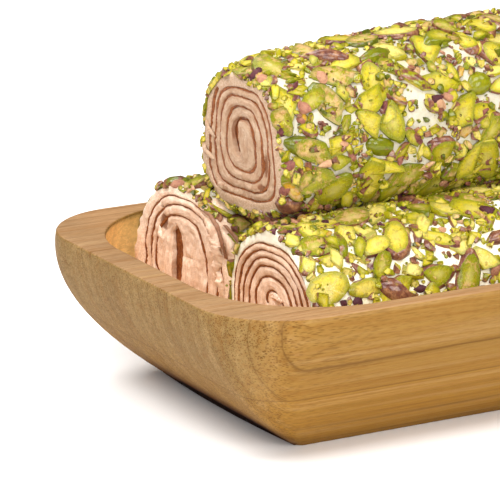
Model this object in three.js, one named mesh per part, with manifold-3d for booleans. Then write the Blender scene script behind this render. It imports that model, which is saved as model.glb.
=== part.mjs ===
// Three pistachio-coated nougat rolls stacked in a flared wooden dish.
// Millimetres, +Z up, +X along the rolls, origin under the middle of the dish's base.
import * as THREE from 'three';
import { mergeVertices } from 'three/addons/utils/BufferGeometryUtils.js';
import Module from 'manifold-3d';

const wasm = await Module();
wasm.setup();

const dish = {
  height: 46,
  baseLength: 175.5,
  baseWidth: 82.7,
  baseCorner: 3,
  rimLength: 240,
  rimWidth: 134.8,
  rimCorner: 27,
  endWall: 9.2,
  sideWall: 6.4,
  floorHeight: 8.8,
  wellLength: 181,
  wellWidth: 88,
  wellCorner: 8,
  mouthCorner: 38,
  outerSteps: 7,
  innerSteps: 5,
  cornerSteps: 7,
};

// A roll is a nougat sheet spread with chocolate, wound from a tip in its core and wrapped in a coat.
// Each section is a rounded box across the roll: squareness 2 is an ellipse, more is boxier, and sag
// widens the foot. The cut is the coat's section at its ends, and the windings are the seam's sections
// after some turns.
const rolls = [
  {
    name: 'front', start: [-87, -25.2, 34.7], length: 174, yaw: 0.3, slant: 0, rise: 0.8, narrowing: 0.02,
    coat: { halfWidth: 26.1, halfHeight: 26, squareness: 2.3, centre: [0, 0], sag: 0.06, tilt: 0 },
    cut: { halfWidth: 24.8, halfHeight: 24.2, squareness: 2.15, centre: [-0.2, 0.6], sag: 0.02, tilt: -2 },
    windings: [
      { turn: 0, halfWidth: 2.2, halfHeight: 2.4, squareness: 2, centre: [0.4, 2.6], sag: 0, tilt: 0 },
      { turn: 5.7, halfWidth: 23.4, halfHeight: 21.2, squareness: 2.45, centre: [-0.3, 0.3], sag: 0.02, tilt: -2.5 },
    ],
    startAngle: 10, growth: 0.62, seed: 11,
  },
  {
    name: 'back', start: [-88, 27.8, 35.2], length: 175, yaw: 0.3, slant: -6, rise: 0.4, narrowing: 0.02,
    coat: { halfWidth: 26.3, halfHeight: 26.4, squareness: 2.25, centre: [0, 0], sag: 0.09, tilt: 0 },
    cut: { halfWidth: 25, halfHeight: 25, squareness: 2.35, centre: [0, 0], sag: 0.09, tilt: 0 },
    windings: [
      { turn: 0, halfWidth: 1.1, halfHeight: 7.8, squareness: 2, centre: [2.8, 4.8], sag: 0, tilt: 0 },
      { turn: 0.42, halfWidth: 1.4, halfHeight: 9.5, squareness: 2, centre: [2.8, 3], sag: 0, tilt: 0 },
      { turn: 0.72, halfWidth: 12.2, halfHeight: 15, squareness: 2.2, centre: [0.8, 0.5], sag: 0, tilt: 0 },
      { turn: 1, halfWidth: 12.4, halfHeight: 16, squareness: 2.3, centre: [0.5, 0.6], sag: 0, tilt: 0 },
      { turn: 2, halfWidth: 17, halfHeight: 19.6, squareness: 2.35, centre: [-0.2, 0.4], sag: 0, tilt: 0 },
      { turn: 3.35, halfWidth: 21.3, halfHeight: 23, squareness: 2.4, centre: [-0.4, 0.2], sag: 0.04, tilt: 0 },
    ],
    startAngle: 95, growth: 1, seed: 23,
  },
  {
    name: 'top', start: [-82, 0.4, 78.6], length: 174, yaw: 1, slant: 0, rise: 3.3, narrowing: 0.05,
    coat: { halfWidth: 25.8, halfHeight: 24.9, squareness: 2.3, centre: [0, 0], sag: 0, tilt: 0 },
    cut: { halfWidth: 22.2, halfHeight: 19.6, squareness: 2.9, centre: [1.2, 0.6], sag: 0.14, tilt: -2 },
    windings: [
      { turn: 0, halfWidth: 2.6, halfHeight: 4.4, squareness: 2.3, centre: [0.5, 1.2], sag: 0, tilt: 0 },
      { turn: 4.3, halfWidth: 19.1, halfHeight: 17.5, squareness: 3.8, centre: [0.7, 1.2], sag: 0.19, tilt: -3.6 },
    ],
    startAngle: -60, growth: 0.722, seed: 37,
  },
];
const chocolateThickness = 0.5;
const fitGap = 0.3;
const stepsPerTurn = 22;
const coatSides = 24;
const coatRings = [0, 1.5, 6, 16, 36, 62, 87];
const cutReach = 5;

// Pistachio pieces, the largest first: half sizes and how many are tried on a roll.
const pistachios = [
  { halfSize: [6.6, 3.4, 1.9], count: 34, shape: new THREE.IcosahedronGeometry(1, 0) },
  { halfSize: [4.4, 3, 1.7], count: 42, shape: new THREE.OctahedronGeometry(1, 0) },
];
const pistachioClearance = 0.4;
const pistachioLift = 0.2;
const bareEnd = 7;
const sizeSpread = 0.25;
const lengthStep = 0.754878;
const angleStep = 0.56984;
const mergeReach = 1e-4;

const materials = {
  wood: new THREE.MeshStandardMaterial({ color: '#b98a4e', roughness: 0.55, metalness: 0 }),
  coat: new THREE.MeshStandardMaterial({ color: '#eeeedf', roughness: 0.6, metalness: 0 }),
  nougat: new THREE.MeshStandardMaterial({ color: '#d6b69e', roughness: 0.65, metalness: 0 }),
  chocolate: new THREE.MeshStandardMaterial({ color: '#84492a', roughness: 0.6, metalness: 0 }),
};

const { degToRad, lerp, seededRandom } = THREE.MathUtils;

// A closed solid through rings of equally many points, with a flat cap on the first and the last.
function loft(rings) {
  const sides = rings[0].length;
  const faces = [];
  for (let side = 1; side < sides - 1; side++) {
    const last = (rings.length - 1) * sides;
    faces.push(0, side + 1, side);
    faces.push(last, last + side, last + side + 1);
  }
  for (let ring = 0; ring < rings.length - 1; ring++) {
    for (let side = 0; side < sides; side++) {
      const here = ring * sides + side;
      const next = ring * sides + (side + 1) % sides;
      faces.push(here, next, next + sides, here, next + sides, here + sides);
    }
  }
  const geometry = new THREE.BufferGeometry().setFromPoints(rings.flat());
  geometry.setIndex(faces);
  return geometry;
}

// A level ring with rounded corners.
function roundedRing(length, width, corner, z) {
  const points = [];
  for (let quarter = 0; quarter < 4; quarter++) {
    const xSide = quarter === 0 || quarter === 3 ? 1 : -1;
    const ySide = quarter < 2 ? 1 : -1;
    for (let step = 0; step <= dish.cornerSteps; step++) {
      const angle = (quarter + step / dish.cornerSteps) * Math.PI / 2;
      points.push(new THREE.Vector3(
        xSide * (length / 2 - corner) + corner * Math.cos(angle),
        ySide * (width / 2 - corner) + corner * Math.sin(angle),
        z,
      ));
    }
  }
  return points;
}

// The wall leaves the base at a slant and turns upright at the rim.
function flare(rise) {
  return 1 - (1 - rise) ** 2;
}

function dishWall(bottom, top, steps) {
  const rings = [];
  for (let step = 0; step <= steps; step++) {
    const rise = step / steps;
    rings.push(roundedRing(
      lerp(bottom.length, top.length, flare(rise)),
      lerp(bottom.width, top.width, flare(rise)),
      lerp(bottom.corner, top.corner, rise),
      lerp(bottom.z, top.z, rise),
    ));
  }
  return rings;
}

function dishGeometry() {
  const base = { length: dish.baseLength, width: dish.baseWidth, corner: dish.baseCorner, z: 0 };
  const rim = { length: dish.rimLength, width: dish.rimWidth, corner: dish.rimCorner, z: dish.height };
  const well = {
    length: dish.wellLength, width: dish.wellWidth, corner: dish.wellCorner, z: dish.floorHeight,
  };
  const mouth = {
    length: dish.rimLength - 2 * dish.endWall, width: dish.rimWidth - 2 * dish.sideWall,
    corner: dish.mouthCorner, z: dish.height,
  };
  const outside = dishWall(base, rim, dish.outerSteps);
  const inside = dishWall(well, mouth, dish.innerSteps).reverse();
  return loft([...outside, ...inside]);
}

// A point at an angle on a section, seen from the roll's end: a rounded box that may sag and tilt.
function sectionPoint({ halfWidth, halfHeight, squareness, centre, sag, tilt }, angle) {
  const bend = (value) => Math.sign(value) * Math.abs(value) ** (2 / squareness);
  const up = bend(Math.sin(angle));
  const point = new THREE.Vector2(halfWidth * bend(Math.cos(angle)) * (1 - sag * up), halfHeight * up);
  return point.rotateAround(new THREE.Vector2(), degToRad(tilt)).add(new THREE.Vector2(...centre));
}

// A section part of the way from one to another.
function sectionBetween(first, second, share) {
  const blend = (key) => lerp(first[key], second[key], share);
  return {
    halfWidth: blend('halfWidth'),
    halfHeight: blend('halfHeight'),
    squareness: blend('squareness'),
    centre: first.centre.map((value, axis) => lerp(value, second.centre[axis], share)),
    sag: blend('sag'),
    tilt: blend('tilt'),
  };
}

function wraps(roll) {
  return roll.windings[roll.windings.length - 1].turn;
}

// The seam between two windings: turn 0 is the tip in the core, turn wraps(roll) the outer end.
function seamPoint(roll, turn) {
  const { windings, growth, startAngle } = roll;
  const grown = wraps(roll) * (turn / wraps(roll)) ** growth;
  const passed = windings.filter((winding) => winding.turn <= grown).length;
  const next = Math.min(passed, windings.length - 1);
  const [inner, outer] = [windings[next - 1], windings[next]];
  const share = (grown - inner.turn) / (outer.turn - inner.turn);
  return sectionPoint(sectionBetween(inner, outer, share), degToRad(startAngle) + turn * 2 * Math.PI);
}

// The seam from one turn to another, moved outwards by an offset.
function seamPath(roll, from, to, offset) {
  const steps = Math.round((to - from) * stepsPerTurn);
  const nudge = 0.002;
  const path = [];
  for (let step = 0; step <= steps; step++) {
    const turn = lerp(from, to, step / steps);
    const along = seamPoint(roll, turn + nudge).sub(seamPoint(roll, turn));
    const outwards = new THREE.Vector2(along.y, -along.x).setLength(offset);
    path.push(seamPoint(roll, turn).add(outwards));
  }
  return path;
}

// Shears a roll's solid so that its first end is cut at the roll's slant.
function slantEnd(roll, geometry) {
  const slope = Math.tan(degToRad(roll.slant));
  const position = geometry.attributes.position;
  for (let index = 0; index < position.count; index++) {
    const x = position.getX(index);
    position.setX(index, x + slope * position.getY(index) * (1 - x / roll.length));
  }
  return geometry;
}

// A prism of an outline along the roll, longer by an overrun at both ends.
function rollPrism(roll, outline, overrun = 0) {
  const shape = new THREE.Shape(outline);
  const depth = roll.length + 2 * overrun;
  const geometry = new THREE.ExtrudeGeometry(shape, { depth, bevelEnabled: false });
  geometry.translate(0, 0, -overrun);
  const alongX = new THREE.Matrix4().makeBasis(
    new THREE.Vector3(0, 1, 0), new THREE.Vector3(0, 0, 1), new THREE.Vector3(1, 0, 0),
  );
  return slantEnd(roll, geometry.applyMatrix4(alongX));
}

function nougatGeometry(roll) {
  const groove = chocolateThickness / 2 + fitGap;
  const inner = seamPath(roll, 0, wraps(roll), -groove);
  const outer = seamPath(roll, 0, wraps(roll) - 1, groove);
  return rollPrism(roll, [...inner, ...outer.reverse()]);
}

function chocolateGeometry(roll) {
  const tipGap = 1 / stepsPerTurn;
  const inner = seamPath(roll, tipGap, wraps(roll), -chocolateThickness / 2);
  const outer = seamPath(roll, tipGap, wraps(roll), chocolateThickness / 2);
  return rollPrism(roll, [...inner, ...outer.reverse()]);
}

function boreGeometry(roll) {
  const pastEnd = 0.006;
  const overrun = 5;
  const gap = chocolateThickness / 2 + fitGap;
  const outline = seamPath(roll, wraps(roll) - 1 + pastEnd, wraps(roll) + pastEnd, gap);
  return rollPrism(roll, outline, overrun);
}

// A point on the coat: the roll swells towards its middle and is rounded at its cut ends.
function coatPoint(roll, x, angle) {
  const swell = Math.sin(Math.PI * x / roll.length);
  const fromEnd = Math.min(x, roll.length - x);
  const body = sectionPoint(roll.coat, angle).multiplyScalar(1 - roll.narrowing * (1 - swell));
  const point = body.lerp(sectionPoint(roll.cut, angle), Math.exp(-fromEnd / cutReach));
  const slope = Math.tan(degToRad(roll.slant)) * (1 - x / roll.length);
  return new THREE.Vector3(x + slope * point.x, point.x, point.y + roll.rise * swell);
}

function bareCoat(roll) {
  const farRings = coatRings.map((x) => roll.length - x).reverse();
  const rings = [...coatRings, ...farRings].filter((x, index, all) => x !== all[index - 1]);
  const outside = loft(rings.map((x) => {
    const angles = Array.from({ length: coatSides }, (_, side) => side * 2 * Math.PI / coatSides);
    return angles.map((angle) => coatPoint(roll, x, angle));
  }));
  return solid(outside).subtract(solid(boreGeometry(roll)));
}

function solid(geometry) {
  const bare = geometry.clone();
  bare.deleteAttribute('normal');
  bare.deleteAttribute('uv');
  const merged = mergeVertices(bare, mergeReach);
  return new wasm.Manifold(new wasm.Mesh({
    numProp: 3,
    vertProperties: new Float32Array(merged.attributes.position.array),
    triVerts: new Uint32Array(merged.index.array),
  }));
}

function geometryOf(manifold) {
  const { vertProperties, triVerts } = manifold.getMesh();
  const geometry = new THREE.BufferGeometry();
  geometry.setAttribute('position', new THREE.BufferAttribute(vertProperties, 3));
  geometry.setIndex(new THREE.BufferAttribute(triVerts, 1));
  return geometry;
}

// Where a pistachio piece lies on a coat: flat on it, turned by a chance angle.
function pistachioPlace(roll, x, angle) {
  const nudge = 0.01;
  const point = coatPoint(roll, x, angle);
  const around = coatPoint(roll, x, angle + nudge).sub(point).normalize();
  const along = coatPoint(roll, x + nudge, angle).sub(point).normalize();
  const outwards = around.clone().cross(along).normalize();
  const turned = along.applyAxisAngle(outwards, seededRandom() * Math.PI);
  const sideways = outwards.clone().cross(turned);
  const place = new THREE.Matrix4().makeBasis(turned, sideways, outwards);
  return place.setPosition(point.addScaledVector(outwards, pistachioLift));
}

function pistachioSolid(kind, scale, place, grownBy) {
  const [length, width, height] = kind.halfSize.map((half) => half * scale + grownBy);
  return solid(kind.shape.clone().scale(length, width, height).applyMatrix4(place));
}

// Fuses pistachio pieces to a coat, spread evenly, and skips those that would touch a neighbour.
function withPistachios(roll, coat, rollMatrix, neighbours) {
  let covered = coat;
  let index = roll.seed;
  seededRandom(roll.seed);
  for (const kind of pistachios) {
    for (let piece = 0; piece < kind.count; piece++) {
      index += 1;
      const x = lerp(bareEnd, roll.length - bareEnd, (index * lengthStep) % 1);
      const angle = ((index * angleStep) % 1) * 2 * Math.PI;
      const place = pistachioPlace(roll, x, angle);
      const scale = 1 + sizeSpread * (seededRandom() - 1);
      const reach = pistachioSolid(kind, scale, place, pistachioClearance).transform(rollMatrix.elements);
      if (neighbours.every((neighbour) => neighbour.intersect(reach).isEmpty())) {
        covered = covered.add(pistachioSolid(kind, scale, place, 0));
      }
    }
  }
  return covered;
}

function mesh(name, geometry, material) {
  const part = new THREE.Mesh(geometry, material.clone());
  part.name = name;
  return part;
}

const group = new THREE.Group();
const dishBody = dishGeometry();
group.add(mesh('dish', dishBody, materials.wood));

const rollGroups = rolls.map((roll) => {
  const place = new THREE.Group();
  place.position.set(...roll.start);
  place.rotation.z = degToRad(roll.yaw);
  place.updateMatrix();
  return place;
});
const coats = rolls.map(bareCoat);
const placed = coats.map((coat, index) => coat.transform(rollGroups[index].matrix.elements));

rolls.forEach((roll, index) => {
  const place = rollGroups[index];
  const neighbours = [solid(dishBody), ...placed.filter((_, other) => other !== index)];
  const covered = withPistachios(roll, coats[index], place.matrix, neighbours);
  placed[index] = covered.transform(place.matrix.elements);
  place.add(
    mesh(`${roll.name}_coat`, geometryOf(covered), materials.coat),
    mesh(`${roll.name}_nougat`, nougatGeometry(roll), materials.nougat),
    mesh(`${roll.name}_chocolate`, chocolateGeometry(roll), materials.chocolate),
  );
  group.add(place);
});

export default group;
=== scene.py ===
import math

import bmesh
import bpy
import numpy as np
from mathutils import Matrix, Vector
from mathutils.geometry import delaunay_2d_cdt
from mathutils.kdtree import KDTree


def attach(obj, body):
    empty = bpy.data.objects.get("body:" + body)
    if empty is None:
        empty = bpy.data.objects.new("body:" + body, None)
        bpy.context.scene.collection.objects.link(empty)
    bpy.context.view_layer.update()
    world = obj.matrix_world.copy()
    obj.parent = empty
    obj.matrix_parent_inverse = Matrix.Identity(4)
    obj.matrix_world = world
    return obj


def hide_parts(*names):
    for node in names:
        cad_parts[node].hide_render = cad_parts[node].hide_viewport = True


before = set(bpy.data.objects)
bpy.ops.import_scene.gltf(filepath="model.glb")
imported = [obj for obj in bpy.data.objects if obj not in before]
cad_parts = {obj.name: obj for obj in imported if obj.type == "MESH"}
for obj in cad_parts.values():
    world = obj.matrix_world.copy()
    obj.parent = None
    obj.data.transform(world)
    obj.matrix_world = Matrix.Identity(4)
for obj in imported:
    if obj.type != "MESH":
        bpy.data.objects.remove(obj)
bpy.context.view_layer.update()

scene = bpy.context.scene
mm = 0.001


# ---- sums on sockets, and the nodes of a material

class Wire:
    def __init__(self, recipe, socket):
        self.recipe = recipe
        self.socket = socket

    def __add__(self, other):
        return self.recipe.maths("ADD", self, other)

    def __sub__(self, other):
        return self.recipe.maths("SUBTRACT", self, other)

    def __rsub__(self, other):
        return self.recipe.maths("SUBTRACT", other, self)

    def __mul__(self, other):
        return self.recipe.maths("MULTIPLY", self, other)

    def __truediv__(self, other):
        return self.recipe.maths("DIVIDE", self, other)

    def __rtruediv__(self, other):
        return self.recipe.maths("DIVIDE", other, self)

    def __abs__(self):
        return self.recipe.maths("ABSOLUTE", self)

    __radd__ = __add__
    __rmul__ = __mul__


class Recipe:
    def __init__(self, name, settings):
        self.material = bpy.data.materials.new(name)
        self.material.use_nodes = True
        self.tree = self.material.node_tree
        self.shader = self.tree.nodes["Principled BSDF"]
        for socket, value in settings.items():
            self.shader.inputs[socket].default_value = value

    def node(self, kind, settings, sockets, output=0):
        made = self.tree.nodes.new(kind)
        for key, value in settings.items():
            if key == "stops":
                self.setStops(made.color_ramp, value)
            else:
                setattr(made, key, value)
        for key, value in sockets.items():
            self.plug(made.inputs[key], value)
        return Wire(self, made.outputs[output])

    def setStops(self, ramp, stops):
        while len(ramp.elements) < len(stops):
            ramp.elements.new(1)
        for element, (place, colour) in zip(ramp.elements, stops):
            element.position = place
            element.color = colour

    def plug(self, socket, value):
        if isinstance(value, Wire):
            self.tree.links.new(value.socket, socket)
        else:
            socket.default_value = value

    def maths(self, operation, *values):
        return self.node("ShaderNodeMath", {"operation": operation}, dict(enumerate(values)))

    def place(self):
        # the point on the object, in millimetres
        point = self.node("ShaderNodeTexCoord", {}, {}, "Object")
        return self.scaled(point, 1 / mm)

    def scaled(self, vector, factor):
        return self.node("ShaderNodeVectorMath", {"operation": "SCALE"}, {0: vector, "Scale": factor})

    def stretched(self, vector, factors):
        return self.node("ShaderNodeVectorMath", {"operation": "MULTIPLY"}, {0: vector, 1: factors})

    def axis(self, vector, letter):
        return self.node("ShaderNodeSeparateXYZ", {}, {0: vector}, letter)

    def noise(self, vector, scale, detail=3, roughness=0.5):
        sockets = {"Vector": vector, "Scale": scale, "Detail": detail, "Roughness": roughness}
        return self.node("ShaderNodeTexNoise", {}, sockets)

    def step(self, value, low, high):
        # 0 below low, 1 above high, smooth in between
        sockets = {"Value": value, "From Min": low, "From Max": high}
        return self.node("ShaderNodeMapRange", {"interpolation_type": "SMOOTHSTEP"}, sockets)

    def mix(self, factor, first, second):
        return self.node("ShaderNodeMix", {"data_type": "RGBA"}, {0: factor, 6: first, 7: second}, 2)

    def ramp(self, value, stops):
        return self.node("ShaderNodeValToRGB", {"stops": stops}, {0: value})

    def stored(self, name):
        return self.node("ShaderNodeAttribute", {"attribute_name": name}, {}, "Fac")

    def warped(self, vector, amount, reach):
        return self.node("ShaderNodeVectorMath", {"operation": "ADD"}, {0: vector, 1: amount * reach})

    def cells(self, vector):
        return self.node("ShaderNodeTexVoronoi", {}, {"Vector": vector, "Scale": 1})

    def relief(self, height, distance, strength=1):
        sockets = {"Height": height, "Distance": distance, "Strength": strength}
        self.plug(self.shader.inputs["Normal"], self.node("ShaderNodeBump", {}, sockets))

    def finish(self, **sockets):
        for name, value in sockets.items():
            self.plug(self.shader.inputs[name], value)
        return self.material


litBy = 1.6   # how bright a plain white thing is in this light


def paint(red, green, blue):
    # a screen colour, 0 to 255, as the linear colour that shows so in this light
    def linear(value):
        value /= 255
        return (value / 12.92 if value <= 0.04045 else ((value + 0.055) / 1.055) ** 2.4) / litBy
    return (linear(red), linear(green), linear(blue), 1)


# ---- meshes and noise

def makePiece(name, points, faces, material, nodes=(), values=None):
    # values are numbers for its materials: one for each point, or else one for each face
    mesh = bpy.data.meshes.new(name)
    faceList = faces.tolist() if isinstance(faces, np.ndarray) else faces
    mesh.from_pydata((np.asarray(points) * mm).tolist(), [], faceList)
    mesh.validate()
    mesh.polygons.foreach_set("use_smooth", [True] * len(mesh.polygons))
    for key, numbers in (values or {}).items():
        domain = "POINT" if len(numbers) == len(points) else "FACE"
        attribute = mesh.attributes.new(key, "FLOAT", domain)
        attribute.data.foreach_set("value", np.asarray(numbers, dtype=np.float32))
    mesh.materials.append(material)
    piece = bpy.data.objects.new(name, mesh)
    scene.collection.objects.link(piece)
    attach(piece, "root")
    if nodes:
        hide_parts(*nodes)
    return piece


def lumps(points, size, seed):
    # smooth noise from -1 to 1 with lumps of a size
    cells = 24
    values = np.random.default_rng(seed).uniform(-1, 1, (cells, cells, cells))
    at = np.asarray(points) / size + 100
    corner = np.floor(at).astype(int)
    part = at - corner
    part = part * part * (3 - 2 * part)
    total = np.zeros(len(at))
    for step in np.ndindex(2, 2, 2):
        weight = np.prod(np.where(np.array(step) == 1, part, 1 - part), axis=1)
        total += weight * values[tuple(((corner + step) % cells).T)]
    return total


def gridFaces(rings, sides):
    # quads between rings of equally many points
    ring = np.arange(rings - 1)[:, None] * sides
    side = np.arange(sides)[None, :]
    nextSide = (side + 1) % sides
    quads = [ring + side, ring + nextSide, ring + sides + nextSide, ring + sides + side]
    return np.stack(np.broadcast_arrays(*quads), -1).reshape(-1, 4)


def tubeFaces(rings, sides, start=0):
    # the same, with a face over each end
    last = start + (rings - 1) * sides
    ends = [list(range(start, start + sides))[::-1], list(range(last, last + sides))]
    return (gridFaces(rings, sides) + start).tolist() + ends


def unit(vectors):
    return vectors / np.linalg.norm(vectors, axis=-1)[..., None]


def onPlane(flat):
    return np.column_stack([flat, np.zeros(len(flat))])


# ---- the dish

dishShape = {
    "height": 46, "baseLength": 175.5, "baseWidth": 82.7, "baseCorner": 3,
    "rimLength": 240, "rimWidth": 134.8, "rimCorner": 27,
    "endWall": 9.2, "sideWall": 6.4, "floorHeight": 8.8,
    "wellLength": 181, "wellWidth": 88, "wellCorner": 8, "mouthCorner": 38,
    "rimEdge": 0.7,       # how far the rim's two edges are rounded
    "unevenness": 0.12,   # hand-sanded waviness
    "waveSize": 35,
    "footBulge": 1.8,     # how far the ends' lowest edge bows out
    "footShare": 0.45,    # of the base's length, beyond which the foot may bow out
    "edgeSteps": 4, "wallSteps": 30, "wellSteps": 26,
    "floorShares": (0.1, 0.5, 0.97),   # rings across the floor and the underside
}


def roundedRing(length, width, corner, z, cornerSteps=20, endSteps=24, sideSteps=48):
    points = []
    for quarter in range(4):
        middle = np.array([length / 2 - corner, width / 2 - corner])
        middle *= [1 if quarter in (0, 3) else -1, 1 if quarter < 2 else -1]
        angles = (quarter + np.linspace(0, 1, cornerSteps + 1)) * math.pi / 2
        arc = middle + corner * np.stack([np.cos(angles), np.sin(angles)], 1)
        points.append(arc)
        straight = sideSteps if quarter in (0, 2) else endSteps
        reach = 2 * (middle[0] if quarter in (0, 2) else middle[1])
        share = np.linspace(0, 1, straight + 1)[1:-1, None]
        nextStart = arc[-1] - np.array([reach, 0] if quarter in (0, 2) else [0, reach])
        points.append(arc[-1] * (1 - share) + nextStart * share)
    flat = np.concatenate(points)
    return np.column_stack([flat, np.full(len(flat), z)])


def wallRings(bottom, top, rises):
    # bottom and top are length, width, corner and height
    rings = []
    for rise in rises:
        flare = 1 - (1 - rise) ** 2
        length, width = bottom[:2] * (1 - flare) + top[:2] * flare
        corner, z = bottom[2:] * (1 - rise) + top[2:] * rise
        rings.append(roundedRing(length, width, corner, z))
    return rings


def edgeRings(shape, outline, side, turns):
    # the rounded edge of the rim: side -1 draws in from the outer wall, 1 out from the mouth
    rings = []
    for turn in turns * math.pi / 2:
        reach = 2 * shape["rimEdge"] * (1 - math.cos(turn)) * side
        z = shape["height"] - shape["rimEdge"] * (1 - math.sin(turn))
        rings.append(roundedRing(outline[0] + reach, outline[1] + reach, outline[2] + reach / 2, z))
    return rings


def buildDish(material):
    shape = dishShape
    edge, height = shape["rimEdge"], shape["height"]
    base = np.array([shape["baseLength"], shape["baseWidth"], shape["baseCorner"], 0])
    rim = np.array([shape["rimLength"], shape["rimWidth"], shape["rimCorner"], height])
    well = np.array([shape["wellLength"], shape["wellWidth"], shape["wellCorner"], shape["floorHeight"]])
    mouth = np.array([shape["rimLength"] - 2 * shape["endWall"], shape["rimWidth"] - 2 * shape["sideWall"],
                      shape["mouthCorner"], height])
    rings = [roundedRing(base[0] * share, base[1] * share, base[2], 0) for share in shape["floorShares"]]
    footRises = [0, 0.008, 0.016, 0.026]
    rings += wallRings(base, rim, [*footRises, *np.linspace(0.04, 1 - edge / height, shape["wallSteps"])])
    rings += edgeRings(shape, rim, -1, np.linspace(0.25, 1, shape["edgeSteps"]))
    rings += edgeRings(shape, mouth, 1, np.linspace(1, 0, shape["edgeSteps"]))
    outerRings = len(rings)
    depth = height - shape["floorHeight"]
    rings += wallRings(well, mouth, np.linspace(1 - edge / depth, 0, shape["wellSteps"])[1:])
    rings += [roundedRing(well[0] * share, well[1] * share, well[2], well[3])
              for share in shape["floorShares"][::-1]]
    sides = len(rings[0])
    points = np.concatenate(rings)
    foot = (1 - (points[:, 1] / shape["baseWidth"] * 2) ** 2).clip(0) * shape["footBulge"]
    beyond = (np.abs(points[:, 0]) - shape["baseLength"] / 2).clip(-3)
    low = points[:, 2] < shape["footBulge"]
    low &= np.abs(points[:, 0]) > shape["footShare"] * shape["baseLength"]
    points[:, 0] += np.sign(points[:, 0]) * np.where(low, (foot - beyond).clip(0) * (beyond > -0.5), 0)
    outwards = points * [1 / 120, 1 / 67, 0]
    outwards /= np.linalg.norm(outwards, axis=1)[:, None] + 1e-9
    points = points + outwards * (lumps(points, shape["waveSize"], 3) * shape["unevenness"])[:, None]
    hollow = np.repeat(np.arange(len(rings)) >= outerRings, sides)
    return makePiece("bamboo_dish", points, tubeFaces(len(rings), sides), material, ["dish"],
                     values={"hollow": hollow})


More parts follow.
